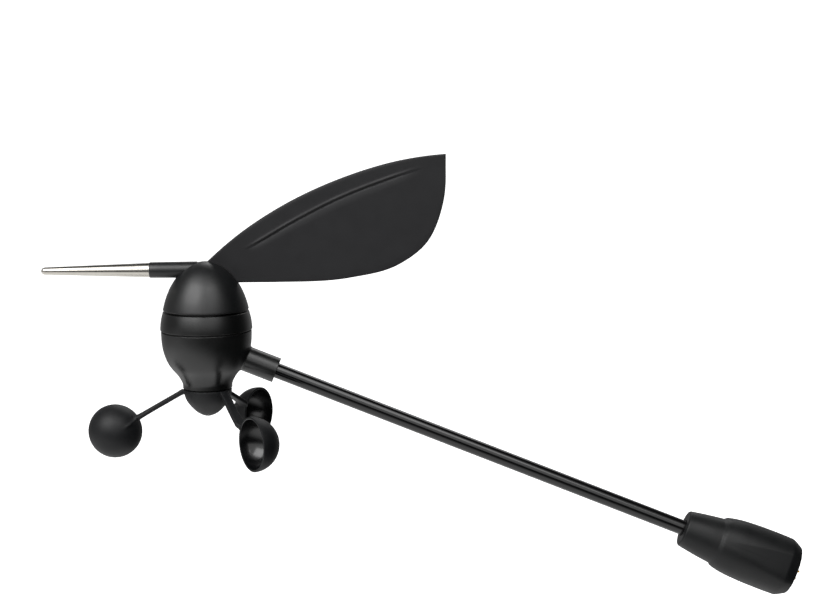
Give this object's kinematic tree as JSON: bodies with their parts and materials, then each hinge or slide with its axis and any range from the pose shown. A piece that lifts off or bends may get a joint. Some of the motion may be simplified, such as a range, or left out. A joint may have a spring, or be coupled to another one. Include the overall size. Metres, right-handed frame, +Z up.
{
  "type": "cup anemometer",
  "caption": "Masthead wind sensor: cup rotor below and wind vane with spike counterweight above an egg-shaped housing, on a sloping tube arm ending in a locking multi-pin plug.",
  "frame": {"origin": "centre of the plug spigot's front face, where the arm plugs into its mounting block", "axes": "+Z up along the spin axis' direction, +X away from the spin axis along the arm's heading, so the arm lies in the XZ plane and slopes down towards +X"},
  "size_m": [0.4001, 0.1114, 0.2365],
  "materials": {
    "housing_plastic": "satin moulded black",
    "cup_plastic": "satin moulded black",
    "vane_plastic": "matte moulded charcoal",
    "nut_plastic": "satin moulded black",
    "insert_plastic": "matte",
    "stainless_steel": "turned and polished",
    "bearing_steel": "ground",
    "black_tube": "gloss black coated tube",
    "gold_plate": "gold plated",
    "cable_jacket": "matte",
    "seal_rubber": "matte",
    "circuit_board": "solder resist",
    "chip_resin": "matte",
    "connector_nylon": "natural nylon",
    "magnet_nickel": "nickel plated"
  },
  "bodies": {
    "base": {"arm_seal": "seal_rubber", "arm_tube": "black_tube", "bearing_retaining_rings": "bearing_steel", "board_components": "chip_resin", "board_screws": "stainless_steel", "cable_connector": "connector_nylon", "contact_pins": "gold_plate", "hall_sensors": "chip_resin", "housing_screws": "stainless_steel", "housing_seal": "seal_rubber", "lower_housing": "housing_plastic", "nut_retaining_ring": "stainless_steel", "pin_insert": "insert_plastic", "plug_body": "nut_plastic", "plug_seal": "seal_rubber", "rotor_bearing_balls": "bearing_steel", "rotor_bearing_outer_races": "bearing_steel", "sensor_board": "circuit_board", "signal_lead": "cable_jacket", "upper_housing": "housing_plastic", "vane_bearing_balls": "bearing_steel", "vane_bearing_outer_races": "bearing_steel"},
    "vane": {"wind_vane": "vane_plastic", "counterweight": "stainless_steel", "vane_shaft": "stainless_steel", "vane_set_screw": "stainless_steel", "vane_magnet": "magnet_nickel", "vane_bearing_inner_races": "bearing_steel", "vane_shaft_spacer": "stainless_steel", "vane_shaft_clip": "stainless_steel"},
    "rotor": {"cup_rotor": "cup_plastic", "rotor_shaft": "stainless_steel", "rotor_set_screw": "stainless_steel", "rotor_magnet": "magnet_nickel", "rotor_bearing_inner_races": "bearing_steel", "rotor_shaft_spacer": "stainless_steel", "rotor_shaft_clip": "stainless_steel"},
    "nut": {"locking_nut": "nut_plastic"}
  },
  "joints": [
    {"name": "vane_spin", "type": "hinge", "parent": "base", "child": "vane", "pos_m": [-0.30853, 0, 0.13278], "axis": [0, 0, 1], "continuous": true},
    {"name": "cup_spin", "type": "hinge", "parent": "base", "child": "rotor", "pos_m": [-0.30853, 0, 0.13278], "axis": [0, 0, 1], "continuous": true},
    {"name": "nut_spin", "type": "hinge", "parent": "base", "child": "nut", "pos_m": [0, 0, 0], "axis": [0.9265, 0, -0.3762], "continuous": true}
  ]
}
